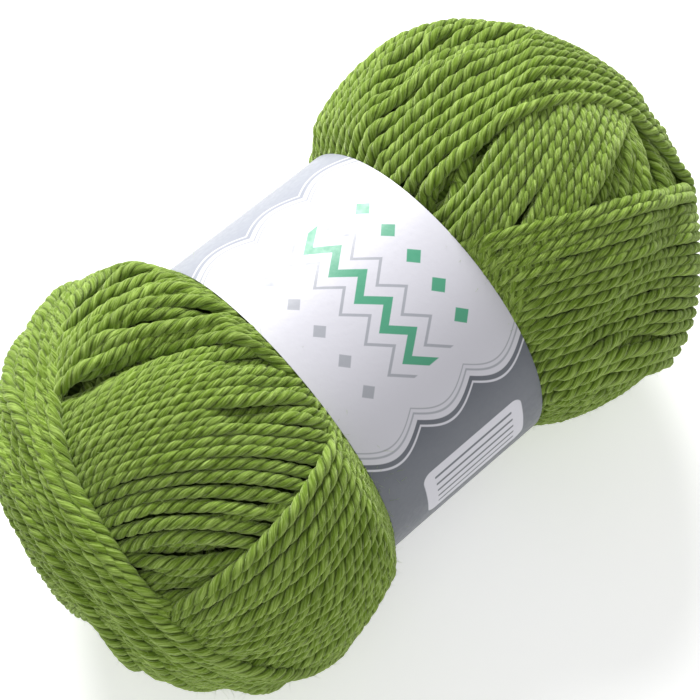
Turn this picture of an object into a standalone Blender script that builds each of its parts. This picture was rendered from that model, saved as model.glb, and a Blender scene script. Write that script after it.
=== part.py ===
"""A machine-wound centre-pull ball of yarn in its paper ball band.

The ball is one solid of its wound form: two unequal swellings with a waist between them, where the
band holds the yarn in, a small hollow at each end, and the main banks of winding as low swathes. It
lies on its side on a small flat spot under each swelling. Metres, +Z up; the long axis runs along X,
the larger swelling at +X, and the origin is under the middle of the ball, on the surface.
"""

import math

import bmesh
import bpy
from mathutils import Matrix, Vector

# The yarn, measured along and out from the winding axis, with the middle of the waist at 0.
SMALL_TIP = -0.0600
SMALL_CROWN = -0.0310
SMALL_RADIUS = 0.0330
LARGE_TIP = 0.0690
LARGE_CROWN = 0.0380
LARGE_RADIUS = 0.0352
WAIST_RADIUS = 0.0279
SHOULDER_FULLNESS = 0.6
SMALL_END_POWERS = (2.0, 2.0)
LARGE_END_POWERS = (1.9, 1.2)
END_HOLLOW_DEPTH = 0.0020
END_HOLLOW_RADIUS = 0.0080

# The paper band, a plain ring round the waist.
BAND_WIDTH = 0.0327
BAND_THICKNESS = 0.0010
CLEARANCE = 0.0003

# The flat spots are this deep, and the axis dips towards the small end so that both touch.
FLAT_DEPTH = 0.0006
PRESSED_SHARE = 0.14

# Grid of the wound form.
SEGMENTS = 96
ROWS_AT_AN_END = 22
ROWS_IN_WAIST = 3

# Banks of winding. Each lies beside a plane through the ball: `tilt` is the angle from the plane to the
# axis, `turn` the direction of its normal about the axis, in degrees, and the bank reaches from `low` to
# `high` along that normal, in mm from the middle of the waist. It stands `rise` mm proud.
BANKS = (
    # name, end, tilt, turn, low, high, rise
    ("crown_large", +1, -16, 150, -60, 6, 0.9),
    ("flank_large", +1, 23, 19, -60, 9, 0.9),
    ("back_large", +1, 20, 200, -60, -8, 0.7),
    ("middle_small", -1, 28, 10, -24, -4, 0.5),
    ("flank_small", -1, -11, 42, -60, 6, 1.1),
    ("cap_small", -1, 75, 131, -53, -43, 0.9),
    ("back_small", -1, -14, 230, -60, -10, 0.7),
)
BANK_EDGE = 3.0
TWIST_PITCH = 7.5
TWIST_DEPTH = 0.30
MM = 0.001


def clear_scene():
    for obj in list(bpy.data.objects):
        bpy.data.objects.remove(obj, do_unlink=True)


def plain_material(name, colour, roughness):
    material = bpy.data.materials.new(name)
    material.use_nodes = True
    shader = material.node_tree.nodes["Principled BSDF"]
    shader.inputs["Base Color"].default_value = (*colour, 1.0)
    shader.inputs["Roughness"].default_value = roughness
    shader.inputs["Metallic"].default_value = 0.0
    return material


def smooth_step(value):
    share = min(max(value, 0.0), 1.0)
    return share * share * (3.0 - 2.0 * share)


def turned_radius(x):
    """Radius of the plain wound form at x: waist, shoulder, crown, then the rounded end."""
    if x < 0.0:
        crown, tip, radius, powers = SMALL_CROWN, SMALL_TIP, SMALL_RADIUS, SMALL_END_POWERS
    else:
        crown, tip, radius, powers = LARGE_CROWN, LARGE_TIP, LARGE_RADIUS, LARGE_END_POWERS
    shoulder = BAND_WIDTH / 2 + CLEARANCE
    if abs(x) <= shoulder:
        return WAIST_RADIUS
    if abs(x) < abs(crown):
        share = (abs(x) - shoulder) / (abs(crown) - shoulder)
        swell = math.sin(share * math.pi / 2) ** SHOULDER_FULLNESS
        return WAIST_RADIUS + (radius - WAIST_RADIUS) * swell
    share = min((x - crown) / (tip - crown), 1.0)
    return radius * (1.0 - share ** powers[0]) ** (1.0 / powers[1])


def bank_relief(point):
    """How far the banks of winding stand out at a point of the plain form, in metres."""
    end = 1 if point.x > 0 else -1
    rise = 0.0
    for _name, bank_end, tilt, turn, low, high, height in BANKS:
        if bank_end != end:
            continue
        lean, round_axis = math.radians(tilt), math.radians(turn)
        normal = Vector((
            math.sin(lean),
            math.cos(lean) * math.cos(round_axis),
            math.cos(lean) * math.sin(round_axis),
        ))
        along = normal.dot(point) / MM
        inside = smooth_step((along - low) / BANK_EDGE) * smooth_step((high - along) / BANK_EDGE)
        twist = TWIST_DEPTH * math.cos(2 * math.pi * along / TWIST_PITCH)
        rise = max(rise, inside * (height + twist))
    return rise * MM


def relief_share(x, angle):
    """The banks fade out under the band, into each end's hollow, and where the ball lies on them."""
    tip = SMALL_TIP if x < 0 else LARGE_TIP
    past_band = smooth_step((abs(x) - BAND_WIDTH / 2 - CLEARANCE) / (4 * MM))
    before_tip = smooth_step((abs(tip) - abs(x)) / (6 * MM))
    above_rest = smooth_step((1.0 + math.sin(angle)) / PRESSED_SHARE)
    return past_band * before_tip * above_rest


def hollow(x, radius):
    """How far the end's small hollow draws the surface in along the axis."""
    share = max(1.0 - (radius / END_HOLLOW_RADIUS) ** 2, 0.0)
    return -math.copysign(END_HOLLOW_DEPTH * share * share, x)


def row_places():
    """Places of the grid's rows along the axis, closer together where the ends round over."""
    shoulder = BAND_WIDTH / 2 + CLEARANCE
    places = []
    for step in range(1, ROWS_AT_AN_END + 1):
        swing = math.cos(math.pi / 2 * step / (ROWS_AT_AN_END + 0.5))
        places.append(-shoulder + (SMALL_TIP + shoulder) * swing)
    for step in range(ROWS_IN_WAIST):
        places.append(-shoulder + 2 * shoulder * step / (ROWS_IN_WAIST - 1))
    for step in range(ROWS_AT_AN_END, 0, -1):
        swing = math.cos(math.pi / 2 * step / (ROWS_AT_AN_END + 0.5))
        places.append(shoulder + (LARGE_TIP - shoulder) * swing)
    return places


def form_point(x, angle):
    radius = turned_radius(x)
    plain = Vector((x, radius * math.cos(angle), radius * math.sin(angle)))
    share = relief_share(x, angle)
    if share > 0.0:
        radius += share * bank_relief(plain)
    return Vector((x + hollow(x, radius), radius * math.cos(angle), radius * math.sin(angle)))


def wound_form_mesh():
    """Rows of points joined into a skin, closed by a fan at the bottom of each end hollow."""
    shape = bmesh.new()
    rows = []
    for x in row_places():
        angles = [2 * math.pi * step / SEGMENTS for step in range(SEGMENTS)]
        rows.append([shape.verts.new(form_point(x, angle)) for angle in angles])
    for low, high in zip(rows, rows[1:]):
        for step in range(SEGMENTS):
            after = (step + 1) % SEGMENTS
            shape.faces.new((low[step], high[step], high[after], low[after]))
    for row, tip, side in ((rows[0], SMALL_TIP, -1), (rows[-1], LARGE_TIP, 1)):
        middle = shape.verts.new((tip - side * END_HOLLOW_DEPTH, 0.0, 0.0))
        for step in range(SEGMENTS):
            after = (step + 1) % SEGMENTS
            ends = (row[step], middle, row[after]) if side > 0 else (row[after], middle, row[step])
            shape.faces.new(ends)
    bmesh.ops.recalc_face_normals(shape, faces=shape.faces)
    mesh = bpy.data.meshes.new("yarn_ball")
    shape.to_mesh(mesh)
    shape.free()
    return mesh


def band_mesh():
    """The paper band: four edge circles joined round into a closed ring."""
    outer = WAIST_RADIUS + CLEARANCE + BAND_THICKNESS
    inner = WAIST_RADIUS + CLEARANCE
    half = BAND_WIDTH / 2
    corners = ((-half, outer), (half, outer), (half, inner), (-half, inner))
    shape = bmesh.new()
    circles = []
    for x, radius in corners:
        angles = [2 * math.pi * step / SEGMENTS for step in range(SEGMENTS)]
        circles.append([shape.verts.new((x, radius * math.cos(a), radius * math.sin(a))) for a in angles])
    for index, circle in enumerate(circles):
        following = circles[(index + 1) % len(circles)]
        for step in range(SEGMENTS):
            after = (step + 1) % SEGMENTS
            shape.faces.new((circle[step], following[step], following[after], circle[after]))
    bmesh.ops.recalc_face_normals(shape, faces=shape.faces)
    mesh = bpy.data.meshes.new("ball_band")
    shape.to_mesh(mesh)
    shape.free()
    return mesh


def lying_pose():
    """Turns the winding axis down to the small end and lifts the ball until both swellings touch."""
    drop = (LARGE_RADIUS - SMALL_RADIUS) / (LARGE_CROWN - SMALL_CROWN)
    height = LARGE_RADIUS - FLAT_DEPTH - LARGE_CROWN * drop
    return Matrix.Translation((0.0, 0.0, height)) @ Matrix.Rotation(-math.atan(drop), 4, "Y")


def to_middle(mesh):
    """The shift that puts the middle of the mesh's box over the origin."""
    lows = [min(vert.co[axis] for vert in mesh.vertices) for axis in (0, 1)]
    highs = [max(vert.co[axis] for vert in mesh.vertices) for axis in (0, 1)]
    return Matrix.Translation((-(lows[0] + highs[0]) / 2, -(lows[1] + highs[1]) / 2, 0.0))


def add_object(name, mesh, material):
    obj = bpy.data.objects.new(name, mesh)
    bpy.context.scene.collection.objects.link(obj)
    mesh.materials.append(material)
    mesh.shade_smooth()
    mesh.set_sharp_from_angle(angle=math.radians(40))
    return obj


def add_floor_cutter():
    """A block under the surface that shears the flat spots off the two swellings."""
    bpy.ops.mesh.primitive_cube_add(size=0.2, location=(0.0, 0.0, -0.1))
    cutter = bpy.context.active_object
    cutter.name = "floor_cutter"
    cutter.hide_render = True
    cutter.display_type = "WIRE"
    return cutter


def build():
    clear_scene()
    yarn = plain_material("yarn", (0.22, 0.42, 0.05), 0.85)
    paper = plain_material("paper_band", (0.80, 0.80, 0.84), 0.45)
    pose = lying_pose()
    ball = add_object("yarn_ball", wound_form_mesh(), yarn)
    band = add_object("ball_band", band_mesh(), paper)
    for obj in (ball, band):
        obj.data.transform(pose)
    shift = to_middle(ball.data)
    for obj in (ball, band):
        obj.data.transform(shift)
    flats = ball.modifiers.new("flat_spots", "BOOLEAN")
    flats.operation = "DIFFERENCE"
    flats.object = add_floor_cutter()


build()
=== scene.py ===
# %% [markdown]
# # A ball of yarn in its paper band
#
# The real object is a 50 g ball of three-ply yarn, wound by machine and held at the waist by a paper band.
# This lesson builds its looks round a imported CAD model, the frame, which already has every size.
# The frame gives two nodes: the wound form of the yarn and the ring of paper. Both are plain, so both are
# replaced here: the form by strands that are laid turn by turn, and the ring by a thin printed strip.

# %% Load the frame
import math

import bpy
import numpy as np
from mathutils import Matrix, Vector
from mathutils.bvhtree import BVHTree
from mathutils.kdtree import KDTree


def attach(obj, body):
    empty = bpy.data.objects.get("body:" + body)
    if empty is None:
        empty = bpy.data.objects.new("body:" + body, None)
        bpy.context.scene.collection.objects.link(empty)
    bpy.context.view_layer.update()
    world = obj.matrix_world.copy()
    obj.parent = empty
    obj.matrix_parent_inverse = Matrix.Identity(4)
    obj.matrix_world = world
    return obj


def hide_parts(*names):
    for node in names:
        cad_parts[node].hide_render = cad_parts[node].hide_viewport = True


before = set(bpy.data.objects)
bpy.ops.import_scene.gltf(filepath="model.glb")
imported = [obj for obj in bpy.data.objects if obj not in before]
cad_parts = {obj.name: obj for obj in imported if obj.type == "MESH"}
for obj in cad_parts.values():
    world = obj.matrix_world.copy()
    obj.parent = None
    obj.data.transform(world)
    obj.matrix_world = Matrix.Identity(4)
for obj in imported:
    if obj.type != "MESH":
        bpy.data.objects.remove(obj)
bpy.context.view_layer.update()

# %% [markdown]
# ## The ball's own axes
#
# The ball lies on two swellings of unequal size, so its winding axis dips a little to the small end.
# Strands are far easier to place from that axis than from the world, and the band shows where it is. It
# is a ring that is wider across than it is long, so the direction in which its points spread least is the
# axis, and their mean is the waist. From here on, places are in millimetres from the waist, x along the
# axis to the large end, and z up from it.

# %% Find the axes in the band
def node_points(name):
    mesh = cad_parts[name].data
    points = np.empty(len(mesh.vertices) * 3)
    mesh.vertices.foreach_get("co", points)
    return points.reshape(-1, 3)


band_points = node_points("ball_band")
waist = band_points.mean(axis=0)
_spreads, directions = np.linalg.eigh(np.cov((band_points - waist).T))
along_axis = directions[:, 0] * np.sign(directions[0, 0])
sideways = np.cross((0.0, 0.0, 1.0), along_axis)
sideways /= np.linalg.norm(sideways)
AXES = np.stack([along_axis, sideways, np.cross(along_axis, sideways)])


def to_ball(points):
    return (np.asarray(points) - waist) @ AXES.T * 1000.0


def to_world(points):
    return waist + np.asarray(points) @ AXES / 1000.0


band_ring = to_ball(band_points)
BAND_HALF = band_ring[:, 0].max()
BAND_RADIUS = np.hypot(band_ring[:, 1], band_ring[:, 2]).max()
print("waist, mm:", (waist * 1000).round(2), "axis:", along_axis.round(4))
print("band half width and radius, mm:", BAND_HALF.round(2), BAND_RADIUS.round(2))

# %% [markdown]
# ## The camera
#
# The camera comes first, because every later choice is judged through it. It looks down steeply on the
# ball, which crosses the picture from the lower left to the upper right, large end far off. The lens is
# long, as product views are, and the aim is close to the middle of the band.

# %% Camera
CAMERA_TURN = math.radians(-41.84)
CAMERA_RISE = math.radians(62.41)
CAMERA_DISTANCE = 0.26015
CAMERA_LENS = 79.93
AIM_RIGHT = 0.00029
AIM_UP = 0.00074


def add_camera():
    back = Vector((
        math.sin(CAMERA_TURN) * math.cos(CAMERA_RISE),
        -math.cos(CAMERA_TURN) * math.cos(CAMERA_RISE),
        math.sin(CAMERA_RISE),
    ))
    right = Vector((math.cos(CAMERA_TURN), math.sin(CAMERA_TURN), 0.0))
    aim = Vector(waist) + AIM_RIGHT * right + AIM_UP * back.cross(right)
    data = bpy.data.cameras.new("camera")
    data.lens = CAMERA_LENS
    data.sensor_width = 36.0
    data.clip_start = 0.01
    data.clip_end = 10.0
    camera = bpy.data.objects.new("camera", data)
    camera.location = aim + CAMERA_DISTANCE * back
    camera.rotation_mode = "QUATERNION"
    camera.rotation_quaternion = (-back).to_track_quat("-Z", "Y")
    bpy.context.scene.collection.objects.link(camera)
    bpy.context.scene.camera = camera
    return camera


camera = add_camera()
print("camera at, mm:", [round(1000 * value, 1) for value in camera.location])

# %% [markdown]
# ## The wound form as a turned profile
#
# Under the strands the ball is nearly a turned shape: two swellings, a waist and rounded ends. The CAD
# form also carries low swathes and two flat spots. A profile of radius against place along the axis is all
# that the strands need, so the form's points are sorted into narrow slices and the typical radius is kept.

# %% Read the profile
SLICE = 1.5
ENOUGH_POINTS = 48
CLEAR_OF_AXIS = 2.0
TYPICAL_SHARE = 0.35
GRID_STEPS = 800
PAST_THE_TIP = -5.0
SQUARE_BESIDE_BAND = 8.0
STEEPEST = 8.0
form = to_ball(node_points("yarn_ball"))
form_radii = np.hypot(form[:, 1], form[:, 2])
TIPS = (form[:, 0].min(), form[:, 0].max())


def read_profile():
    """Places along the axis and the form's plain radius there, with each end closed at its tip."""
    places, radii = [TIPS[0]], [0.0]
    slices = np.round(form[:, 0] / SLICE)
    for number in np.unique(slices):
        inside = (slices == number) & (form_radii > CLEAR_OF_AXIS)
        if inside.sum() >= ENOUGH_POINTS:
            places.append(form[inside, 0].mean())
            radii.append(np.quantile(form_radii[inside], TYPICAL_SHARE))
    places.append(TIPS[1])
    radii.append(0.0)
    return np.array(places), np.array(radii)


slice_places, slice_radii = read_profile()
grid_x = np.linspace(TIPS[0], TIPS[1], GRID_STEPS)
grid_radius = np.interp(grid_x, slice_places, slice_radii)
grid_slope = np.gradient(grid_radius, grid_x)


def form_radius(x):
    """The form's radius at x, and less than nothing past the tips, so that every point there is outside."""
    return np.interp(x, grid_x, grid_radius, left=PAST_THE_TIP, right=PAST_THE_TIP)


def form_normal(points):
    """Outward directions of the form, square to the axis beside the band, whose paper is straight."""
    clear = np.clip((np.abs(points[:, 0]) - BAND_HALF) / SQUARE_BESIDE_BAND, 0.0, 1.0)
    slope = np.clip(np.interp(points[:, 0], grid_x, grid_slope), -STEEPEST, STEEPEST) * clear
    radius = np.hypot(points[:, 1], points[:, 2]) + 1e-6
    normal = np.stack([-slope, points[:, 1] / radius, points[:, 2] / radius], axis=1)
    return normal / np.linalg.norm(normal, axis=1)[:, None]


print("swellings, mm:", [round(grid_radius[side].max(), 1) for side in (grid_x < 0, grid_x > 0)])

# %% [markdown]
# ## One turn of yarn
#
# A winding machine lays each turn nearly in a plane, which leans a little to the axis. So a turn can be
# found by cutting the form with a plane: rays fan out in the plane from a point inside the swelling, and
# each stops where it leaves the form. A turn that runs to the waist is cut off under the band, where the
# paper hides it, and one that goes round an end is a closed loop.

# %% Cut the form with a plane
STEP = 0.64
SWELLING_MIDDLE = 34.0
HIDDEN_BY_BAND = 12.5
RAY_STEP = 0.5
RAY_REACH = 90.0
FEWEST_STEPS = 8


def plane_normal(tilt, turn):
    """A plane's normal: tilt is the angle from the plane to the axis, turn the normal's way round it."""
    lean, way = math.radians(tilt), math.radians(turn)
    return np.array([math.sin(lean), math.cos(lean) * math.cos(way), math.cos(lean) * math.sin(way)])


def even_steps(points, closed):
    """The same line with its points an even step apart."""
    if closed:
        points = np.vstack([points, points[:1]])
    lengths = np.r_[0.0, np.cumsum(np.linalg.norm(np.diff(points, axis=0), axis=1))]
    count = max(int(round(lengths[-1] / STEP)), FEWEST_STEPS)
    marks = np.linspace(0.0, lengths[-1], count + 1)
    even = np.stack([np.interp(marks, lengths, points[:, axis]) for axis in range(3)], axis=1)
    return even[:-1] if closed else even


def cut_form(tilt, turn, distance, end):
    """The turn in one plane, as points an even step apart, and whether it closes on itself."""
    normal = plane_normal(tilt, turn)
    middle = np.array([end * SWELLING_MIDDLE, 0.0, 0.0])
    middle = middle + normal * (distance - middle @ normal)
    across = np.cross(normal, (1.0, 0.0, 0.0))
    across /= np.linalg.norm(across)
    outward = np.cross(across, normal) * end
    angles = np.radians(np.arange(-180.0, 180.0, 1.0))
    rays = np.cos(angles)[:, None] * outward + np.sin(angles)[:, None] * across
    reach = np.arange(0.0, RAY_REACH, RAY_STEP)
    places = middle + reach[None, :, None] * rays[:, None, :]
    outside = np.hypot(places[..., 1], places[..., 2]) - form_radius(places[..., 0])
    if outside[0, 0] > 0.0:
        return None, False
    first = np.argmax(outside > 0.0, axis=1)
    row = np.arange(len(angles))
    before, after = outside[row, first - 1], outside[row, first]
    share = before / (before - after)
    points = middle + (reach[first - 1] + RAY_STEP * share)[:, None] * rays
    keep = points[:, 0] * end > HIDDEN_BY_BAND
    return even_steps(points[keep], keep.all()), bool(keep.all())


trial, trial_closed = cut_form(30.0, 0.0, -10.0, -1)
print("a trial turn has", len(trial), "points, closed:", trial_closed)

# %% [markdown]
# ## Banks of turns
#
# The machine shifts its plane a little after each turn, so turns lie side by side in banks, and every so
# often it swings to a new angle and lays the next bank across the last one. The table has a row for each
# bank in the order of laying: the end it is on, its number of turns, and the tilt, turn and distance of its
# first and last planes. The two base rows go right round the axis and fill the ball under the others. The
# ceiling is how high above the form a bank may stand, and the last column says how loosely it was wound.

# %% Table of banks
BANKS = (
    # name, end, turns, tilt, last_tilt, turn, last_turn, distance, last_distance, ceiling, loose
    ("base_large", +1, 54, -26.0, -26.0, 140.0, 500.0, -8.0, -8.0, -2.9, 1.0),
    ("base_small", -1, 50, 27.0, 27.0, -90.0, 270.0, -8.0, -8.0, -2.9, 1.0),
    ("round_large", +1, 19, -25.0, -25.0, 105.0, 105.0, -42.4, 0.0, -1.6, 1.0),
    ("lean_large", +1, 14, 24.0, 24.0, 110.0, 104.0, 0.0, 29.0, -1.6, 1.0),
    ("round_small", -1, 17, 22.0, 22.0, 95.0, 95.0, -39.7, -2.0, -1.6, 1.0),
    ("lean_small", -1, 12, -20.0, -20.0, 80.0, 84.0, 3.0, 28.0, -1.6, 1.0),
    ("wedge_large", +1, 16, -29.6, -21.1, 12.0, 85.6, -11.5, 7.4, -0.4, 1.0),
    ("back_large", +1, 13, 20.0, 15.0, 200.0, 214.0, 17.0, -9.0, 0.2, 1.0),
    ("back_small", -1, 30, -14.0, -18.0, 225.0, 247.0, 34.0, -14.0, 0.2, 1.0),
    ("middle_small", -1, 20, 20.8, 43.2, 11.3, -12.3, 0.0, -45.2, 0.5, 0.7),
    ("flank_large", +1, 17, 23.0, 22.0, 31.0, 24.6, 13.0, -16.5, 0.6, 0.8),
    ("crown_large", +1, 15, -17.0, -3.0, 160.0, 145.0, 2.4, -17.0, 1.0, 1.0),
    ("brow_small", -1, 9, -12.0, -6.0, 128.0, 120.0, 3.0, 22.0, 0.9, 1.0),
    ("top_small", -1, 10, -24.0, 0.0, 130.0, 106.0, 29.9, 21.0, 1.4, 1.8),
    ("side_small", -1, 13, -13.0, -4.0, 49.0, 110.0, 11.0, 20.0, 1.8, 1.2),
    ("cap_small", -1, 14, 40.0, 74.0, 122.0, 140.0, -15.4, -52.0, 2.0, 2.2),
    ("stray_small", -1, 4, 76.0, 46.0, 148.0, 116.0, -52.0, -22.0, 2.9, 2.0),
)
BANK_COLUMNS = ("name", "end", "turns", "tilt", "last_tilt", "turn", "last_turn", "distance",
                "last_distance", "ceiling", "loose")

# %% [markdown]
# ## Laying the yarn
#
# Each new point rests on what was laid before: where it crosses an older strand it is lifted by one
# strand's thickness, and where it lies in the hollow between two it sinks in. A k-d tree of the feet of the
# earlier points, on the form's surface, finds the ones underneath. The yarn is under tension, so it can't
# dip sharply between two crossings: the upper hull of its heights, less a gentle curve, pulls it straight.

# %% Tension and looseness
RADIUS = 1.2
GIVE = 0.12
random = np.random.default_rng(7)


def pull_taut(heights, closed):
    """Heights of a stretched strand that bridges the hollows between the points that hold it up."""
    count = len(heights)
    rounds = 3 if closed else 1
    marks = np.arange(count * rounds) * STEP
    sag = 0.5 * GIVE * marks ** 2
    levels = np.tile(heights, rounds) - sag
    hull = []
    for index in range(len(marks)):
        while len(hull) > 1:
            first, last = hull[-2], hull[-1]
            rise = (levels[last] - levels[first]) * (marks[index] - marks[first])
            if rise > (levels[index] - levels[first]) * (marks[last] - marks[first]):
                break
            hull.pop()
        hull.append(index)
    pulled = np.interp(marks, marks[hull], levels[hull]) + sag
    return pulled[count:2 * count] if closed else pulled


def soft_noise(count, wavelength, closed):
    """A smooth random wave along a strand, of about unit size."""
    total = np.zeros(count)
    for _ in range(4):
        waves = count * STEP / wavelength * random.uniform(0.5, 1.5)
        if closed:
            waves = max(round(waves), 1)
        total += np.sin(2.0 * math.pi * (waves * np.arange(count) / count + random.uniform()))
    return total / 2.0


def directions_along(points, closed):
    """The way the strand runs at each of its points."""
    if closed:
        step = np.roll(points, -1, axis=0) - np.roll(points, 1, axis=0)
    else:
        step = np.gradient(points, axis=0)
    return step / np.linalg.norm(step, axis=1)[:, None]


print("strand radius, mm:", RADIUS, "step along it:", STEP)

# %% [markdown]
# ## Turn upon turn
#
# Each turn is cut, let wander a little, laid on what is there, pulled taut, and kept for the next ones to
# rest on. A turn lies deeper beside a turn of its own bank than across another bank. The ceiling keeps a
# pile of crossings from growing past the ball's outline, as the winder's pressure would.

# %% Lay the banks
CROSSING = 2.1
BESIDE = 1.5
DEEPEST = -5.2
WANDER = 0.25
WANDER_WAVE = 45.0
LIFT = 0.12
LIFT_WAVE = 30.0
OVER_CEILING = 0.6
UNEVENNESS = (("tilt", 0.15), ("turn", 0.2), ("distance", 0.06))
strands = []
laid_feet, laid_heights, laid_banks = [], [], []


def rest_on_laid(feet, bank):
    """The lowest height at which each point clears the strands that are already there."""
    tree = KDTree(len(laid_feet))
    for index, foot in enumerate(laid_feet):
        tree.insert(foot, index)
    tree.balance()
    heights = np.full(len(feet), DEEPEST)
    for number, foot in enumerate(feet):
        for _place, index, away in tree.find_range(foot, CROSSING):
            reach = BESIDE if laid_banks[index] == bank else CROSSING
            if away < reach:
                top = laid_heights[index] + math.sqrt(reach * reach - away * away)
                heights[number] = max(heights[number], top)
    return heights


def lay_strand(feet, closed, bank, ceiling, loose):
    """Adds one turn to the ball, and its feet and heights to what the next turns rest on."""
    along = directions_along(feet, closed)
    normals = form_normal(feet)
    side = np.cross(normals, along)
    feet = feet + side * (WANDER * loose * soft_noise(len(feet), WANDER_WAVE, closed))[:, None]
    heights = np.minimum(rest_on_laid(feet, bank), ceiling)
    heights = np.minimum(pull_taut(heights, closed), ceiling + OVER_CEILING)
    heights = heights + LIFT * loose * soft_noise(len(feet), LIFT_WAVE, closed)
    laid_feet.extend(feet.tolist())
    laid_heights.extend(heights.tolist())
    laid_banks.extend([bank] * len(feet))
    strands.append({"bank": bank, "closed": closed, "centres": feet + normals * heights[:, None]})


def plane_of_turn(bank, share):
    """Tilt, turn and distance of the plane that lies the given share of the way through the bank."""
    plane = []
    for key, spread in UNEVENNESS:
        first, last = bank[key], bank["last_" + key]
        plane.append(first + (last - first) * share + random.normal(0.0, spread * bank["loose"]))
    return plane


def lay_bank(row):
    bank = dict(zip(BANK_COLUMNS, row))
    for number in range(bank["turns"]):
        plane = plane_of_turn(bank, number / (bank["turns"] - 1))
        feet, closed = cut_form(*plane, bank["end"])
        if feet is not None:
            lay_strand(feet, closed, bank["name"], bank["ceiling"], bank["loose"])


for row in BANKS:
    lay_bank(row)
    count = sum(strand["bank"] == row[0] for strand in strands)
    print("laid", row[0], "with", count, "turns")

# %% [markdown]
# ## Under the paper and on the table
#
# The band squeezes the yarn, so beside the paper no strand may stand higher than a slope that starts at
# the paper's edge. And the ball lies on two flat spots: a strand there is pressed up until it just touches
# the table.

# %% Press the strands in
PAPER_THICKNESS = 0.25
UNDER_PAPER = BAND_RADIUS - PAPER_THICKNESS - RADIUS
SLOPE_AT_BAND = 1.3
LEVEL_BESIDE_BAND = 0.2
TOUCHING = 0.94


def press(centres):
    """The same points, drawn in under the slope beside the paper and lifted clear of the table."""
    radius = np.hypot(centres[:, 1], centres[:, 2])
    beyond = np.maximum(np.abs(centres[:, 0]) - BAND_HALF - LEVEL_BESIDE_BAND, 0.0)
    allowed = UNDER_PAPER + SLOPE_AT_BAND * beyond
    squeeze = np.minimum(allowed / np.maximum(radius, 1e-6), 1.0)
    pressed = centres * np.stack([np.ones_like(squeeze), squeeze, squeeze], axis=1)
    world = to_world(pressed)
    world[:, 2] = np.maximum(world[:, 2], TOUCHING * RADIUS / 1000.0)
    return to_ball(world)


for strand in strands:
    strand["centres"] = press(strand["centres"])
    strand["along"] = directions_along(strand["centres"], strand["closed"])
    strand["out"] = form_normal(strand["centres"])
length = sum(len(strand["centres"]) for strand in strands) * STEP / 1000.0
print("strands:", len(strands), "length, m:", round(length, 1))

# %% [markdown]
# ## Which stretches show
#
# Most of the yarn in a ball is out of sight, and modelling it would waste a great many faces. Coarse tubes
# stand in for all the strands, and from each point nine rays look outward past its own tube. Where fewer
# than two of them get out, the strand is left off, with a little to spare at both ends.

# %% Look outward from each point
WAYS_OUT = 2
COARSE_SIDES = 6
COARSE_SHARE = 0.9
PAST_OWN_TUBE = 1.2
FAR_ENOUGH = 40.0
SPARE_STEPS = 3
LOOKS = ((0, 0), (35, 0), (-35, 0), (68, 0), (-68, 0), (0, 40), (0, -40), (40, 40), (-40, -40))


def coarse_tubes():
    points, faces = [], []
    turns = [2.0 * math.pi * corner / COARSE_SIDES for corner in range(COARSE_SIDES)]
    for strand in strands:
        centres = strand["centres"][::2]
        out, along = strand["out"][::2], strand["along"][::2]
        side = np.cross(out, along)
        girth = COARSE_SHARE * RADIUS
        rings = [centres + girth * (math.cos(turn) * side + math.sin(turn) * out) for turn in turns]
        start = len(points)
        points.extend(np.stack(rings, axis=1).reshape(-1, 3).tolist())
        for ring in range(len(centres) - 1):
            low = start + COARSE_SIDES * ring
            high = low + COARSE_SIDES
            for corner in range(COARSE_SIDES):
                after = (corner + 1) % COARSE_SIDES
                faces.append((low + corner, low + after, high + after, high + corner))
    return BVHTree.FromPolygons(points, faces)


def find_visible(strand, cover):
    """For each point of the strand, whether enough rays get out."""
    side = np.cross(strand["out"], strand["along"])
    ways_out = np.zeros(len(strand["centres"]), int)
    for lean, pitch in LOOKS:
        across, ahead = math.tan(math.radians(lean)), math.tan(math.radians(pitch))
        rays = strand["out"] + across * side + ahead * strand["along"]
        rays /= np.linalg.norm(rays, axis=1)[:, None]
        starts = strand["centres"] + PAST_OWN_TUBE * RADIUS * rays
        for index in np.flatnonzero(ways_out < WAYS_OUT):
            hit = cover.ray_cast(Vector(starts[index]), Vector(rays[index]), FAR_ENOUGH)
            ways_out[index] += hit[0] is None
    return ways_out >= WAYS_OUT


def widen(seen, steps, closed):
    """The seen stretches, longer by some steps at both ends."""
    wide = seen.copy()
    for shift in range(1, steps + 1):
        for way in (shift, -shift):
            moved = np.roll(seen, way)
            if not closed:
                moved[:shift] = moved[:shift] & (way < 0)
                moved[-shift:] = moved[-shift:] & (way > 0)
            wide |= moved
    return wide


cover = coarse_tubes()
for strand in strands:
    strand["seen"] = widen(find_visible(strand, cover), SPARE_STEPS, strand["closed"])
shown = sum(strand["seen"].sum() for strand in strands)
print("visible yarn, m:", round(shown * STEP / 1000.0, 1), "of", round(length, 1))

# %% [markdown]
# ## Room to the sides
#
# Soft yarn takes the width that it is given: beside the band turns crowd together and each is squeezed
# narrower than it is high, and where a bank fans out they spread until they touch. The nearest neighbour
# on about the same level tells how much room there is on each side.

# %% Measure the room
NARROWEST = 0.80
WIDEST = 1.28
WITH_NO_NEIGHBOUR = 1.04
SHARE_OF_GAP = 0.51
SAME_LEVEL = 0.55
LOOK_FOR_NEIGHBOURS = 2.1
SMOOTHED_OVER = 7


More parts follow.
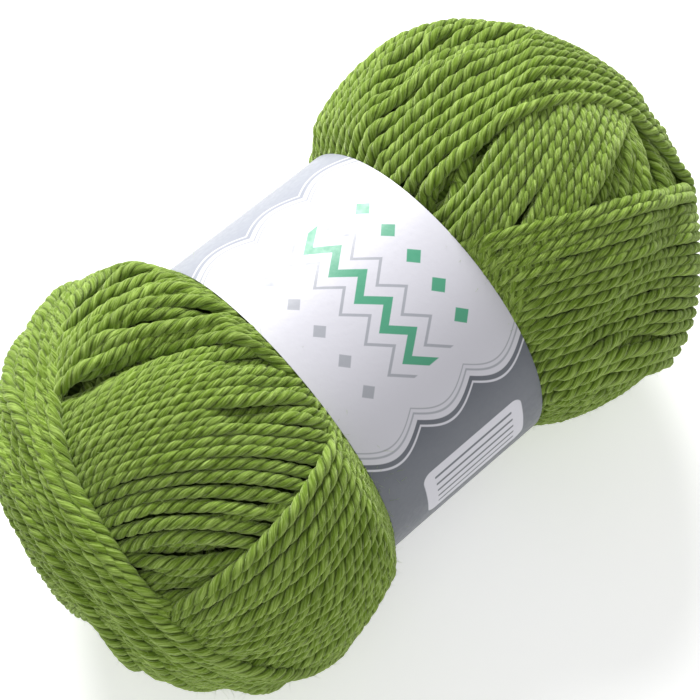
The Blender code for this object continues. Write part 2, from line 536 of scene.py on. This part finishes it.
def find_room():
    """Gives each strand its half width to either side, in mm, at each of its points."""
    total = sum(len(strand["centres"]) for strand in strands)
    tree = KDTree(total)
    owners = np.empty(total, int)
    start = 0
    for number, strand in enumerate(strands):
        for offset, centre in enumerate(strand["centres"].tolist()):
            tree.insert(centre, start + offset)
        owners[start:start + len(strand["centres"])] = number
        start += len(strand["centres"])
    tree.balance()
    kernel = np.ones(SMOOTHED_OVER) / SMOOTHED_OVER
    for number, strand in enumerate(strands):
        side = np.cross(strand["out"], strand["along"])
        gaps = np.full((len(side), 2), np.inf)
        for index in np.flatnonzero(strand["seen"]):
            centre = Vector(strand["centres"][index])
            out, across = Vector(strand["out"][index]), Vector(side[index])
            for place, other, _away in tree.find_range(centre, LOOK_FOR_NEIGHBOURS * WIDEST * RADIUS):
                if owners[other] != number:
                    apart = (place - centre).dot(across)
                    if abs((place - centre).dot(out)) < SAME_LEVEL * abs(apart):
                        way = 0 if apart > 0 else 1
                        gaps[index, way] = min(gaps[index, way], abs(apart))
        room = np.clip(SHARE_OF_GAP * gaps, NARROWEST * RADIUS, WIDEST * RADIUS)
        room[np.isinf(gaps)] = WITH_NO_NEIGHBOUR * RADIUS
        padded = np.pad(room, ((SMOOTHED_OVER // 2, SMOOTHED_OVER // 2), (0, 0)), mode="edge")
        smooth = [np.convolve(padded[:, way], kernel, mode="valid") for way in (0, 1)]
        strand["room"] = np.stack(smooth, axis=1)


find_room()
widths = np.concatenate([strand["room"][strand["seen"]].sum(axis=1) for strand in strands])
print("strand widths, mm:", widths.min().round(2), "to", widths.max().round(2))

# %% [markdown]
# ## Three plies twisted together
#
# The yarn is three soft plies with an S twist. Seen from the side each ply is a row of slanting lobes, and
# that rope-like look is most of what says "yarn". A tube with a lobed cross-section that turns as it goes
# gives it in real geometry: twelve points to a ring, four to a ply, from a groove up to the ply's crown.
# Each point follows its ply, so the faces run along the plies as the fibres do. The three attributes that
# the tube carries are for its material.

# %% One twisted tube
LEAD = 6.3
HEIGHT = 0.95
LOBE = np.tile((0.70, 0.92, 1.0, 0.92), 3)
GROOVE = np.tile((1.0, 0.15, 0.0, 0.15), 3)
SIDES = len(LOBE)
STEADY = np.radians([ply + place for ply in (0, 120, 240) for place in (0, 21, 60, 99)])


def twisted_tube(strand, run, start_phase, tint, offset):
    """Points, faces and the three attributes of one visible stretch of a strand."""
    centres, along = strand["centres"][run], strand["along"][run]
    out = strand["out"][run]
    out = out - (out * along).sum(axis=1)[:, None] * along
    out /= np.linalg.norm(out, axis=1)[:, None]
    side = np.cross(out, along)
    marks = (run[0] + np.arange(len(run))) * STEP
    turned = STEADY[None, :] - 2.0 * math.pi * marks[:, None] / LEAD + start_phase
    room = strand["room"][run]
    wide = np.where(np.cos(turned) > 0.0, room[:, :1], room[:, 1:]) * LOBE * np.cos(turned)
    high = HEIGHT * RADIUS * LOBE * np.sin(turned)
    points = centres[:, None, :] + wide[..., None] * side[:, None, :] + high[..., None] * out[:, None, :]
    count = len(run)
    ring = np.arange(count - 1)[:, None] * SIDES
    here = np.arange(SIDES)[None, :]
    after = (here + 1) % SIDES
    quads = np.stack([ring + here, ring + after, ring + SIDES + after, ring + SIDES + here], axis=-1)
    fibre = np.stack([
        np.broadcast_to(RADIUS * np.cos(STEADY), (count, SIDES)),
        np.broadcast_to(RADIUS * np.sin(STEADY), (count, SIDES)),
        np.broadcast_to(marks[:, None] + offset, (count, SIDES)),
    ], axis=-1)
    groove = np.broadcast_to(GROOVE, (count, SIDES))
    caps = [list(range(SIDES))[::-1], list(range((count - 1) * SIDES, count * SIDES))]
    return {
        "points": points.reshape(-1, 3),
        "quads": quads.reshape(-1, 4),
        "caps": caps,
        "fibre": fibre.reshape(-1, 3),
        "groove": groove.reshape(-1),
        "tint": np.full(count * SIDES, tint),
    }


print("a ring has", SIDES, "points, and the plies turn once in", LEAD, "mm")

# %% [markdown]
# ## Many tubes in one mesh
#
# A hundred short objects would be slow to handle and hard to find, so the tubes of one bank become one
# mesh. A strand that dips out of sight and comes back gives several tubes, and they share its twist and its
# tint, so the eye follows it under what crosses it.

# %% Stretches and joined meshes
SHORTEST_RUN = 4


def runs_of(seen, closed):
    """Stretches of indices that are seen, each a list, joined across the start of a closed loop."""
    if seen.all():
        return [list(range(len(seen))) + ([0] if closed else [])]
    if closed:
        first = int(np.flatnonzero(~seen)[0])
        order = [(first + step) % len(seen) for step in range(len(seen))]
    else:
        order = list(range(len(seen)))
    runs, run = [], []
    for index in order + [None]:
        if index is not None and seen[index]:
            run.append(index)
        else:
            if len(run) > SHORTEST_RUN:
                runs.append(run)
            run = []
    return runs


def new_piece(name, points, faces):
    """A smooth mesh object from points in the ball's own axes."""
    mesh = bpy.data.meshes.new(name)
    mesh.from_pydata(to_world(points).tolist(), [], faces)
    mesh.shade_smooth()
    piece = bpy.data.objects.new(name, mesh)
    bpy.context.scene.collection.objects.link(piece)
    return piece


def count_triangles(piece):
    return sum(len(face.vertices) - 2 for face in piece.data.polygons)


def join_tubes(name, tubes):
    starts = np.r_[0, np.cumsum([len(tube["points"]) for tube in tubes])]
    faces = []
    for tube, start in zip(tubes, starts):
        faces.extend((tube["quads"] + start).tolist())
        faces.extend([index + int(start) for index in cap] for cap in tube["caps"])
    piece = new_piece(name, np.vstack([tube["points"] for tube in tubes]), faces)
    for key, kind, field in (("fibre", "FLOAT_VECTOR", "vector"), ("groove", "FLOAT", "value"),
                             ("tint", "FLOAT", "value")):
        values = np.concatenate([tube[key] for tube in tubes]).astype(np.float32)
        piece.data.attributes.new(key, kind, "POINT").data.foreach_set(field, values.ravel())
    return piece


runs_in_all = sum(len(runs_of(strand["seen"], strand["closed"])) for strand in strands)
print("stretches that show:", runs_in_all)

# %% [markdown]
# ## Helpers for materials
#
# A material is a tree of nodes, and built by hand it soon turns into a tangle. Each helper adds one node or
# a small group, links what goes in and gives back what comes out, so that a material reads as a list of
# steps.

# %% Add nodes to a material


def new_material(name):
    """A new material, its tree of nodes and its shader."""
    material = bpy.data.materials.new(name)
    material.use_nodes = True
    return material, material.node_tree, material.node_tree.nodes["Principled BSDF"]


def add_attribute(tree, name):
    node = tree.nodes.new("ShaderNodeAttribute")
    node.attribute_name = name
    return node


def add_mix(tree, share, first, second):
    """A colour mix whose share and colours are sockets, or plain values."""
    node = tree.nodes.new("ShaderNodeMix")
    node.data_type = "RGBA"
    for socket, value in ((node.inputs[0], share), (node.inputs[6], first), (node.inputs[7], second)):
        if isinstance(value, bpy.types.NodeSocket):
            tree.links.new(value, socket)
        else:
            socket.default_value = value
    return node.outputs[2]


def add_range(tree, value, low, high, to_low, to_high):
    node = tree.nodes.new("ShaderNodeMapRange")
    tree.links.new(value, node.inputs["Value"])
    for socket, number in (("From Min", low), ("From Max", high), ("To Min", to_low), ("To Max", to_high)):
        node.inputs[socket].default_value = number
    return node.outputs["Result"]


def add_noise(tree, vector, scale, detail):
    node = tree.nodes.new("ShaderNodeTexNoise")
    tree.links.new(vector, node.inputs["Vector"])
    node.inputs["Scale"].default_value = scale
    node.inputs["Detail"].default_value = detail
    return node.outputs["Fac"]


def add_stretch(tree, vector, scale):
    node = tree.nodes.new("ShaderNodeMapping")
    tree.links.new(vector, node.inputs["Vector"])
    node.inputs["Scale"].default_value = scale
    return node.outputs["Vector"]


print("helpers for materials are ready")

# %% [markdown]
# ## The look of the yarn
#
# The yarn is leaf-green acrylic, matt, with a soft bloom where loose fibres catch the light. The tubes
# carry three attributes for the material: a vector that follows the fibres round and along each ply, how
# deep a point lies in a groove, and a tint for each strand. Stretched noise on the fibre vector gives fine
# streaks in colour and bump, the lighter streaks partly the fibres' own tone and partly painted highlight.
# The grooves are darkened as painted shade, and sheen on the shader gives the bloom.

# %% Yarn material
# The dark green is painted shade in the grooves and the shaded patches, and also the strands' own darker
# tint.
YARN_DARK_TONE_AND_SHADE = (0.045, 0.080, 0.006, 1.0)
YARN_MAIN = (0.192, 0.312, 0.026, 1.0)
# The light green is the fibres' own lighter tone and painted highlight on the streaks.
YARN_LIGHT_TONE_AND_HIGHLIGHT = (0.430, 0.600, 0.135, 1.0)
COLOUR_STRETCH = (2.4, 2.4, 0.42)
FUZZ_STRETCH = (3.0, 3.0, 0.55)
FUZZ_HEIGHT = 0.0005


def add_bump(tree, shader, height, strength, distance):
    node = tree.nodes.new("ShaderNodeBump")
    node.inputs["Strength"].default_value = strength
    node.inputs["Distance"].default_value = distance
    tree.links.new(height, node.inputs["Height"])
    tree.links.new(node.outputs["Normal"], shader.inputs["Normal"])


def yarn_material():
    material, tree, shader = new_material("yarn_green")
    fibre = add_attribute(tree, "fibre").outputs["Vector"]
    groove = add_attribute(tree, "groove").outputs["Fac"]
    tint = add_attribute(tree, "tint").outputs["Fac"]
    streaks = add_noise(tree, add_stretch(tree, fibre, COLOUR_STRETCH), 1.0, 4.0)
    patches = add_noise(tree, fibre, 0.35, 1.0)
    # Lighter streaks, partly the fibres' own tone and partly painted highlight.
    light = add_range(tree, streaks, 0.42, 0.66, 0.0, 1.0)
    colour = add_mix(tree, light, YARN_MAIN, YARN_LIGHT_TONE_AND_HIGHLIGHT)
    # Painted shade: the deeper a point lies in a groove between plies, the more it takes the dark green.
    groove_shade = add_range(tree, groove, 0.1, 1.0, 0.0, 0.90)
    colour = add_mix(tree, groove_shade, colour, YARN_DARK_TONE_AND_SHADE)
    shaded = add_range(tree, patches, 0.3, 0.7, 0.0, 0.22)
    colour = add_mix(tree, shaded, colour, YARN_DARK_TONE_AND_SHADE)
    own = add_range(tree, tint, 0.0, 1.0, 0.0, 0.18)
    colour = add_mix(tree, own, colour, YARN_DARK_TONE_AND_SHADE)
    tree.links.new(colour, shader.inputs["Base Color"])
    fuzz = add_noise(tree, add_stretch(tree, fibre, FUZZ_STRETCH), 1.0, 4.0)
    add_bump(tree, shader, fuzz, 1.0, FUZZ_HEIGHT)
    shader.inputs["Roughness"].default_value = 0.85
    shader.inputs["Specular IOR Level"].default_value = 0.25
    shader.inputs["Sheen Weight"].default_value = 0.60
    shader.inputs["Sheen Roughness"].default_value = 0.30
    shader.inputs["Sheen Tint"].default_value = (0.80, 0.95, 0.45, 1.0)
    return material


yarn_green = yarn_material()
print("made material", yarn_green.name)

# %% [markdown]
# ## A piece for each bank
#
# Each bank of turns is a piece of its own, so it can be hidden or studied alone. Every piece rides on the
# ball's one body, stands for the plain wound form, which is hidden, and takes the green yarn material.
# Twist, tint and place in the noise are drawn anew for each strand, or neighbours would look like copies.

# %% Make one piece for each bank
def make_bank_piece(bank):
    tubes = []
    for strand in strands:
        if strand["bank"] != bank:
            continue
        phase, tint, offset = random.uniform(0, 2 * math.pi), random.uniform(), random.uniform(0, 900)
        for run in runs_of(strand["seen"], strand["closed"]):
            tubes.append(twisted_tube(strand, run, phase, tint, offset))
    if not tubes:
        return None
    piece = join_tubes("yarn_" + bank, tubes)
    piece.data.materials.append(yarn_green)
    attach(piece, "root")
    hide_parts("yarn_ball")
    return piece


total_triangles = 0
for row in BANKS:
    piece = make_bank_piece(row[0])
    if piece:
        total_triangles += count_triangles(piece)
        print(piece.name, "has", count_triangles(piece), "triangles")
print("yarn in all:", total_triangles, "triangles")

# %% [markdown]
# ## Loose fibres
#
# Spun yarn is never smooth: fibre ends stand out of each ply as a fine fuzz that softens its outline. A
# hair system could grow them, but a few thousand thin, tapered fibres in one mesh export as they are and
# cost little. Each starts on a strand that shows, leans along the yarn and bends outward. None starts lower
# than five millimetres, so none reaches the table.

# %% Grow the loose fibres
FIBRES = 3000
FIBRE_RADIUS = 0.035
FIBRE_LENGTH = (0.9, 2.3)
FIBRES_ABOVE = 0.005
FIBRE_TURN = (-1.2, 1.2)
FIBRE_FORWARD = (0.5, 1.0)
FIBRE_OUTWARD = (0.15, 0.6)
FIBRE_CURL = (0.0, 0.6)
FIBRE_SIDEWAYS = (-0.5, 0.5)
FIBRE_MARKS = np.array((0.0, 0.35, 0.7, 1.0))
FIBRE_CORNERS = np.radians((0.0, 120.0, 240.0))


def loose_fibre(strand, index):
    """One fibre as a three-sided tube of four rings, with the attributes that the yarn's material reads."""
    around = random.uniform(*FIBRE_TURN)
    out, along = strand["out"][index], strand["along"][index]
    side = np.cross(out, along)
    away = math.cos(around) * out + math.sin(around) * side
    lean = along * random.choice((-1.0, 1.0)) * random.uniform(*FIBRE_FORWARD)
    lean = lean + away * random.uniform(*FIBRE_OUTWARD)
    curl = away * random.uniform(*FIBRE_CURL) + side * random.uniform(*FIBRE_SIDEWAYS)
    length = random.uniform(*FIBRE_LENGTH)
    root = strand["centres"][index] + 0.8 * RADIUS * away
    middles = root + length * (FIBRE_MARKS[:, None] * lean + FIBRE_MARKS[:, None] ** 2 * curl)
    first = np.cross(lean, away)
    first /= np.linalg.norm(first)
    second = np.cross(first, lean / np.linalg.norm(lean))
    corners = np.cos(FIBRE_CORNERS)[:, None] * first + np.sin(FIBRE_CORNERS)[:, None] * second
    girth = FIBRE_RADIUS * (1.0 - 0.7 * FIBRE_MARKS)
    points = (middles[:, None, :] + girth[:, None, None] * corners).reshape(-1, 3)
    quads = [
        (ring + k, ring + 3 + k, ring + 3 + (k + 1) % 3, ring + (k + 1) % 3)
        for ring in range(0, 9, 3) for k in range(3)
    ]
    return {
        "points": points,
        "quads": np.array(quads),
        "caps": [[0, 1, 2], [11, 10, 9]],
        "fibre": points,
        "groove": np.zeros(len(points)),
        "tint": np.zeros(len(points)),
    }


def places_for_fibres():
    """Each visible point that is high enough for a fibre to stay above the table."""
    return [
        (strand, index)
        for strand in strands
        for index in np.flatnonzero(strand["seen"] & (to_world(strand["centres"])[:, 2] > FIBRES_ABOVE))
    ]


shown_places = places_for_fibres()
fibres =[loose_fibre(*shown_places[pick]) for pick in random.integers(0, len(shown_places), FIBRES)]
fuzz = join_tubes("yarn_fuzz", fibres)
fuzz.data.materials.append(yarn_green)
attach(fuzz, "root")
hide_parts("yarn_ball")
total_triangles += count_triangles(fuzz)
print("loose fibres:", FIBRES, "triangles:", count_triangles(fuzz), "in all:", total_triangles)

# %% [markdown]
# ## The heart of the ball
#
# Between strands one looks down on more yarn, deep in shade. A turned skin just under the lowest layer
# stands for it, in the yarn's green darkened as painted shade and ridged round and round, so that no gap
# shows daylight. Under the band it comes up close to the paper, because the yarn there is pressed together.

# %% Core
CORE_DEPTH = 5.0
WAIST_DEPTH = 1.6
PAST_THE_BAND = 0.8
CORE_ROWS = 90
CORE_SIDES = 72
BEFORE_THE_TIP = 0.5
SMALLEST_RING = 1.0
# Both colours are the yarn's green darkened as painted shade, the paler one for the ridges.
CORE_SHADE_DARK = (0.05, 0.085, 0.010, 1.0)
CORE_SHADE_PALE = (0.11, 0.18, 0.025, 1.0)


def core_piece():
    sides = CORE_SIDES
    places = np.linspace(TIPS[0] + BEFORE_THE_TIP, TIPS[1] - BEFORE_THE_TIP, CORE_ROWS)
    feet = np.stack([places, form_radius(places), np.zeros(CORE_ROWS)], axis=1)
    depth = np.where(np.abs(places) < BAND_HALF + PAST_THE_BAND, WAIST_DEPTH, CORE_DEPTH)
    rim = feet - form_normal(feet) * depth[:, None]
    rim = rim[rim[:, 1] > SMALLEST_RING]
    angles = np.arange(sides) * 2.0 * math.pi / sides
    points = np.stack([
        np.broadcast_to(rim[:, :1], (len(rim), sides)),
        rim[:, 1:2] * np.cos(angles),
        rim[:, 1:2] * np.sin(angles),
    ], axis=-1)
    faces = []
    for ring in range(len(rim) - 1):
        for step in range(sides):
            after = (step + 1) % sides
            low, high = ring * sides, (ring + 1) * sides
            faces.append((low + step, low + after, high + after, high + step))
    faces.append(tuple(range(sides))[::-1])
    faces.append(tuple(range((len(rim) - 1) * sides, len(rim) * sides)))
    return new_piece("yarn_core", points.reshape(-1, 3), faces)


def core_material():
    material, tree, shader = new_material("yarn_in_shade")
    place = tree.nodes.new("ShaderNodeTexCoord").outputs["Object"]
    ridges = tree.nodes.new("ShaderNodeTexWave")
    tree.links.new(place, ridges.inputs["Vector"])
    ridges.inputs["Scale"].default_value = 420.0
    ridges.inputs["Distortion"].default_value = 2.0
    # Painted shade, in dark and less dark ridges round the axis.
    colour = add_mix(tree, ridges.outputs["Fac"], CORE_SHADE_DARK, CORE_SHADE_PALE)
    tree.links.new(colour, shader.inputs["Base Color"])
    shader.inputs["Roughness"].default_value = 0.95
    shader.inputs["Specular IOR Level"].default_value = 0.1
    return material


core = core_piece()
core.data.materials.append(core_material())
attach(core, "root")
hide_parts("yarn_ball")
print("core has", len(core.data.polygons), "faces")

# %% [markdown]
# ## The paper band
#
# The band is a strip of coated paper, wrapped round the waist and glued where its ends overlap, at the
# underside. A strip whose radius grows by one thickness over the overlap is built as a thin closed solid,
# so its cut edges show, and its points carry their place on the flat strip for the print.

# %% Paper strip
PAPER_RADIUS = BAND_RADIUS - PAPER_THICKNESS
PAPER_STEPS = 240
PAPER_ROWS = 9
OVERLAP = 14.0
CLIMB = 3.0
LAP_CLEARANCE = 1.1
SEAM_PLACE = -math.pi / 2 - 0.35


def strip_faces(columns, rows):
    """A strip's outer and inner sides, its two long edges and its two cut ends."""
    faces = []
    for row in range(rows - 1):
        for step in range(columns - 1):
            a, b = row * columns + step, (row + 1) * columns + step
            faces.append((a, a + 1, b + 1, b))
            a, b = a + rows * columns, b + rows * columns
            faces.append((a, b, b + 1, a + 1))
    for step in range(columns - 1):
        for row in (0, rows - 1):
            a, b = row * columns + step, (row + rows) * columns + step
            quad = (a, b, b + 1, a + 1)
            faces.append(quad if row == 0 else quad[::-1])
    for row in range(rows - 1):
        for step in (0, columns - 1):
            a, b = row * columns + step, (row + rows) * columns + step
            quad = (a, a + columns, b + columns, b)
            faces.append(quad if step == 0 else quad[::-1])
    return faces


def strip_piece():
    """The strip, and how long it is from cut end to cut end."""
    girth = 2.0 * math.pi * BAND_RADIUS
    length = girth + OVERLAP
    marks = np.linspace(0.0, length, PAPER_STEPS + 1)
    angles = SEAM_PLACE + marks / BAND_RADIUS
    lift = np.clip((marks - girth + CLIMB) / CLIMB, 0.0, 1.0) * LAP_CLEARANCE * PAPER_THICKNESS
    points, flat = [], []
    for depth in (PAPER_THICKNESS, 0.0):
        for x in np.linspace(-BAND_HALF, BAND_HALF, PAPER_ROWS):
            radius = PAPER_RADIUS + depth + lift
            across = np.full_like(marks, x)
            points.append(np.stack([across, radius * np.cos(angles), radius * np.sin(angles)], axis=1))
            flat.append(np.stack([marks, across, np.full_like(marks, depth)], axis=1))
    piece = new_piece("paper_band", np.vstack(points), strip_faces(len(marks), PAPER_ROWS))
    piece.data.set_sharp_from_angle(angle=math.radians(40))
    places = piece.data.attributes.new("flat", "FLOAT_VECTOR", "POINT")
    places.data.foreach_set("vector", np.vstack(flat).ravel())
    return piece, length


paper, paper_length = strip_piece()
print("paper strip, mm:", round(2 * BAND_HALF, 1), "by", round(paper_length, 1))

# %% [markdown]
# ## The print on the paper
#
# A band is printed in a few inks on coated white paper. An image would do it, but this print is worked out
# in the material from each point's place on the flat strip, so it stays sharp and bends with the paper. It
# is a plain design made for this lesson: a white field with zigzags and diamonds, borders in scallops, and
# a slate ground with pale ruled labels. Every shape is a mask: 1 where its ink lies, and 0 elsewhere.

# %% Masks for the inks
INK_EDGE = 0.16
SCALLOP = 10.9


def add_math(tree, operation, first, second=0.0):
    node = tree.nodes.new("ShaderNodeMath")
    node.operation = operation
    for socket, value in zip(node.inputs, (first, second)):
        if isinstance(value, bpy.types.NodeSocket):
            tree.links.new(value, socket)
        else:
            socket.default_value = value
    return node.outputs["Value"]


def add_below(tree, value, limit):
    """1 where the value is under the limit, 0 where it is over, with an edge as soft as printed ink's."""
    over = add_math(tree, "SUBTRACT", value, limit)
    return add_range(tree, over, -INK_EDGE / 2, INK_EDGE / 2, 1.0, 0.0)


def add_line(tree, value, place, width):
    """1 within half a width of the place."""
    away = add_math(tree, "ABSOLUTE", add_math(tree, "SUBTRACT", value, place))
    return add_below(tree, away, width / 2)


def add_panel(tree, along, across, middle, half, corner):
    """1 inside a panel with round corners; middle and half are pairs, along and across the strip."""
    total = 0.0
    for value, centre, size in zip((along, across), middle, half):
        away = add_math(tree, "ABSOLUTE", add_math(tree, "SUBTRACT", value, centre))
        past = add_math(tree, "MAXIMUM", add_math(tree, "SUBTRACT", away, size - corner))
        total = add_math(tree, "ADD", add_math(tree, "MULTIPLY", past, past), total)
    return add_below(tree, add_math(tree, "SQRT", total), corner)


def add_zigzag(tree, along, pitch):
    """A wave of straight slopes from 0 to 1 and back, once in each pitch."""
    turn = add_math(tree, "FRACT", add_math(tree, "DIVIDE", along, pitch))
    away = add_math(tree, "ABSOLUTE", add_math(tree, "SUBTRACT", turn, 0.5))
    return add_math(tree, "MULTIPLY", away, 2.0)


def add_scallops(tree, across, place, depth):
    """Where a border runs, along the strip, as a row of round scallops across it."""
    swing = add_math(tree, "MULTIPLY", across, math.pi / SCALLOP)
    bow = add_math(tree, "ABSOLUTE", add_math(tree, "COSINE", swing))
    return add_math(tree, "ADD", add_math(tree, "MULTIPLY", bow, depth), place)


print("edge of the ink, mm:", INK_EDGE)

# %% [markdown]
# ## Ground and field
#
# The darkest ink goes down first in this material, and each mask lays the next colour over it. The slate
# ground grows paler towards the field, and two lines follow each scalloped border inside the field and one
# outside it, as on a printed label.

# %% Slate ground and white field
PAPER_WHITE = (0.615, 0.608, 0.665, 1.0)
SLATE_INK = (0.110, 0.121, 0.146, 1.0)
PALE_INK = (0.300, 0.318, 0.370, 1.0)
GREY_INK = (0.360, 0.370, 0.410, 1.0)
GREEN_INK = (0.075, 0.330, 0.200, 1.0)
FIELD = (85.0, 127.5)
PALE_FROM = 48.0
SCALLOP_DEPTH = 3.0
BORDER_LINES = (
    # shift from the border, width, ink
    (1.3, 0.4, GREY_INK),
    (2.3, 0.25, GREY_INK),
    (-1.2, 0.45, PAPER_WHITE),
)


def paper_ground(tree, along, across):
    """Slate ground that pales towards the white field, the field's scalloped borders and their lines."""
    pale = add_range(tree, along, PALE_FROM, FIELD[0], 0.0, 1.0)
    beyond = add_below(tree, along, sum(FIELD) / 2)
    pale = add_math(tree, "MULTIPLY", pale, beyond)
    colour = add_mix(tree, pale, SLATE_INK, PALE_INK)
    first = add_scallops(tree, across, FIELD[0], -SCALLOP_DEPTH)
    last = add_scallops(tree, across, FIELD[1], SCALLOP_DEPTH)
    before = add_below(tree, along, last)
    after = add_math(tree, "SUBTRACT", 1.0, add_below(tree, along, first))
    field = add_math(tree, "MULTIPLY", before, after)
    colour = add_mix(tree, field, colour, PAPER_WHITE)
    for border, way in ((first, 1.0), (last, -1.0)):
        for shift, width, ink in BORDER_LINES:
            place = add_math(tree, "ADD", border, way * shift)
            colour = add_mix(tree, add_line(tree, along, place, width), colour, ink)
    return colour


print("white field, mm along the strip:", FIELD)

# %% [markdown]
# ## Motifs and labels
#
# Zigzags and diamonds are the plainest figures of a knitting chart. One wave along the strip serves both:
# it swings a line to and fro for a zigzag, and added to the distance from a row it makes diamonds. The
# labels are panels with round corners, and even rules across them stand for small print.

# %% Zigzags, diamonds and labels
ZIGZAG_PITCH = 5.8
ZIGZAG_HEIGHT = 3.4
MOTIFS = (16 * ZIGZAG_PITCH, 21 * ZIGZAG_PITCH)
ZIGZAGS = ((-1.7, 2.0, GREEN_INK), (-5.4, 0.7, GREY_INK), (2.0, 0.7, GREY_INK))
DIAMONDS = ((-9.5, 1.3, GREY_INK), (9.5, 1.5, GREEN_INK))
LABELS = (
    # along, across, half_along, half_across: middles and half sizes of the pale ruled labels
    (143.5, 1.5, 5.8, 10.5),
    (160.0, -1.0, 6.5, 12.0),
    (22.0, 0.0, 9.0, 12.5),
)
LABEL_CORNER = 1.8
RULE_PITCH = 1.9
RULE_HALF = 0.28
RULE_CORNER = 0.2
LABEL_MARGIN = 2.2


def paper_motifs(tree, along, across, colour):
    """Zigzags as in a knitting chart: one bold and green, two fine and grey, and rows of diamonds."""
    middle, width = sum(MOTIFS) / 2, MOTIFS[1] - MOTIFS[0]
    span = add_line(tree, along, middle, width)
    zigzag = add_zigzag(tree, along, ZIGZAG_PITCH)
    swing = add_math(tree, "MULTIPLY", zigzag, ZIGZAG_HEIGHT)
    level = add_math(tree, "SUBTRACT", across, swing)
    for place, thick, ink in ZIGZAGS:
        line = add_line(tree, level, place, thick)
        colour = add_mix(tree, add_math(tree, "MULTIPLY", line, span), colour, ink)
    beside = add_math(tree, "MULTIPLY", zigzag, ZIGZAG_PITCH / 2)
    for place, size, ink in DIAMONDS:
        away = add_math(tree, "ABSOLUTE", add_math(tree, "SUBTRACT", across, place))
        diamond = add_below(tree, add_math(tree, "ADD", away, beside), size)
        colour = add_mix(tree, add_math(tree, "MULTIPLY", diamond, span), colour, ink)
    return colour


def paper_labels(tree, along, across, colour):
    """Pale labels with round corners, each ruled with even lines."""
    for place, shift, half_along, half_across in LABELS:
        label = add_panel(tree, along, across, (place, shift), (half_along, half_across), LABEL_CORNER)
        colour = add_mix(tree, label, colour, PAPER_WHITE)
        for line in np.arange(LABEL_MARGIN - half_along, half_along - 1.0, RULE_PITCH):
            middle, half = (place + line, shift), (RULE_HALF, half_across - LABEL_MARGIN)
            ruled = add_panel(tree, along, across, middle, half, RULE_CORNER)
            colour = add_mix(tree, ruled, colour, SLATE_INK)
    return colour


print("labels:", len(LABELS), "zigzags:", len(ZIGZAGS), "rows of diamonds:", len(DIAMONDS))

# %% [markdown]
# ## The paper itself
#
# The inks lie on the outer side only, so the cut edges and the inside stay bare. Coated paper has a soft
# shine that is a little uneven, which a faint noise gives in bump and in roughness.

# %% Paper material
def paper_material():
    material, tree, shader = new_material("printed_paper")
    flat = tree.nodes.new("ShaderNodeSeparateXYZ")
    tree.links.new(add_attribute(tree, "flat").outputs["Vector"], flat.inputs["Vector"])
    along, across, depth = flat.outputs["X"], flat.outputs["Y"], flat.outputs["Z"]
    colour = paper_ground(tree, along, across)
    colour = paper_motifs(tree, along, across, colour)
    colour = paper_labels(tree, along, across, colour)
    bare = add_below(tree, depth, PAPER_THICKNESS - INK_EDGE)
    colour = add_mix(tree, bare, colour, PAPER_WHITE)
    tree.links.new(colour, shader.inputs["Base Color"])
    pulp = add_noise(tree, add_attribute(tree, "flat").outputs["Vector"], 1.1, 3.0)
    add_bump(tree, shader, pulp, 0.12, 0.0002)
    tree.links.new(add_range(tree, pulp, 0.3, 0.7, 0.34, 0.46), shader.inputs["Roughness"])
    return material


paper.data.materials.append(paper_material())
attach(paper, "root")
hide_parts("ball_band")
print("print made of", len(paper.data.materials[0].node_tree.nodes), "nodes")

# %% [markdown]
# ## Table and light
#
# The ball lies on a white table in a bright, soft studio light. One large soft box shines from beyond the
# ball and above it, a weaker one fills in on the near side, and a white sky lifts the shadows. The table
# glows a little, as a light table does under goods that are shown on white.

# %% Floor, lights and world
def add_floor():
    bpy.ops.mesh.primitive_plane_add(size=4.0, location=(0.0, 0.0, 0.0))
    floor = bpy.context.active_object
    floor.name = "floor"
    material, _tree, shader = new_material("white_table")
    shader.inputs["Base Color"].default_value = (0.90, 0.90, 0.90, 1.0)
    shader.inputs["Emission Color"].default_value = (1.0, 1.0, 1.0, 1.0)
    shader.inputs["Emission Strength"].default_value = 0.40
    shader.inputs["Roughness"].default_value = 0.8
    floor.data.materials.append(material)


def add_soft_box(name, direction, distance, size, power):
    data = bpy.data.lights.new(name, "AREA")
    data.shape = "DISK"
    data.size = size
    data.energy = power
    light = bpy.data.objects.new(name, data)
    way = Vector(direction).normalized()
    light.location = way * distance
    light.rotation_mode = "QUATERNION"
    light.rotation_quaternion = way.to_track_quat("Z", "Y")
    bpy.context.scene.collection.objects.link(light)


add_floor()
add_soft_box("key_light", direction=(0.38, 0.78, 0.78), distance=0.9, size=0.5, power=12.0)
add_soft_box("fill_light", direction=(-0.4, -0.5, 1.0), distance=1.0, size=0.8, power=1.8)
world = bpy.data.worlds.new("studio")
bpy.context.scene.world = world
world.use_nodes = True
world.node_tree.nodes["Background"].inputs["Color"].default_value = (1.0, 1.0, 1.0, 1.0)
world.node_tree.nodes["Background"].inputs["Strength"].default_value = 0.42
bpy.context.scene.view_settings.view_transform = "Standard"
print("lights:", [light.name for light in bpy.data.lights])
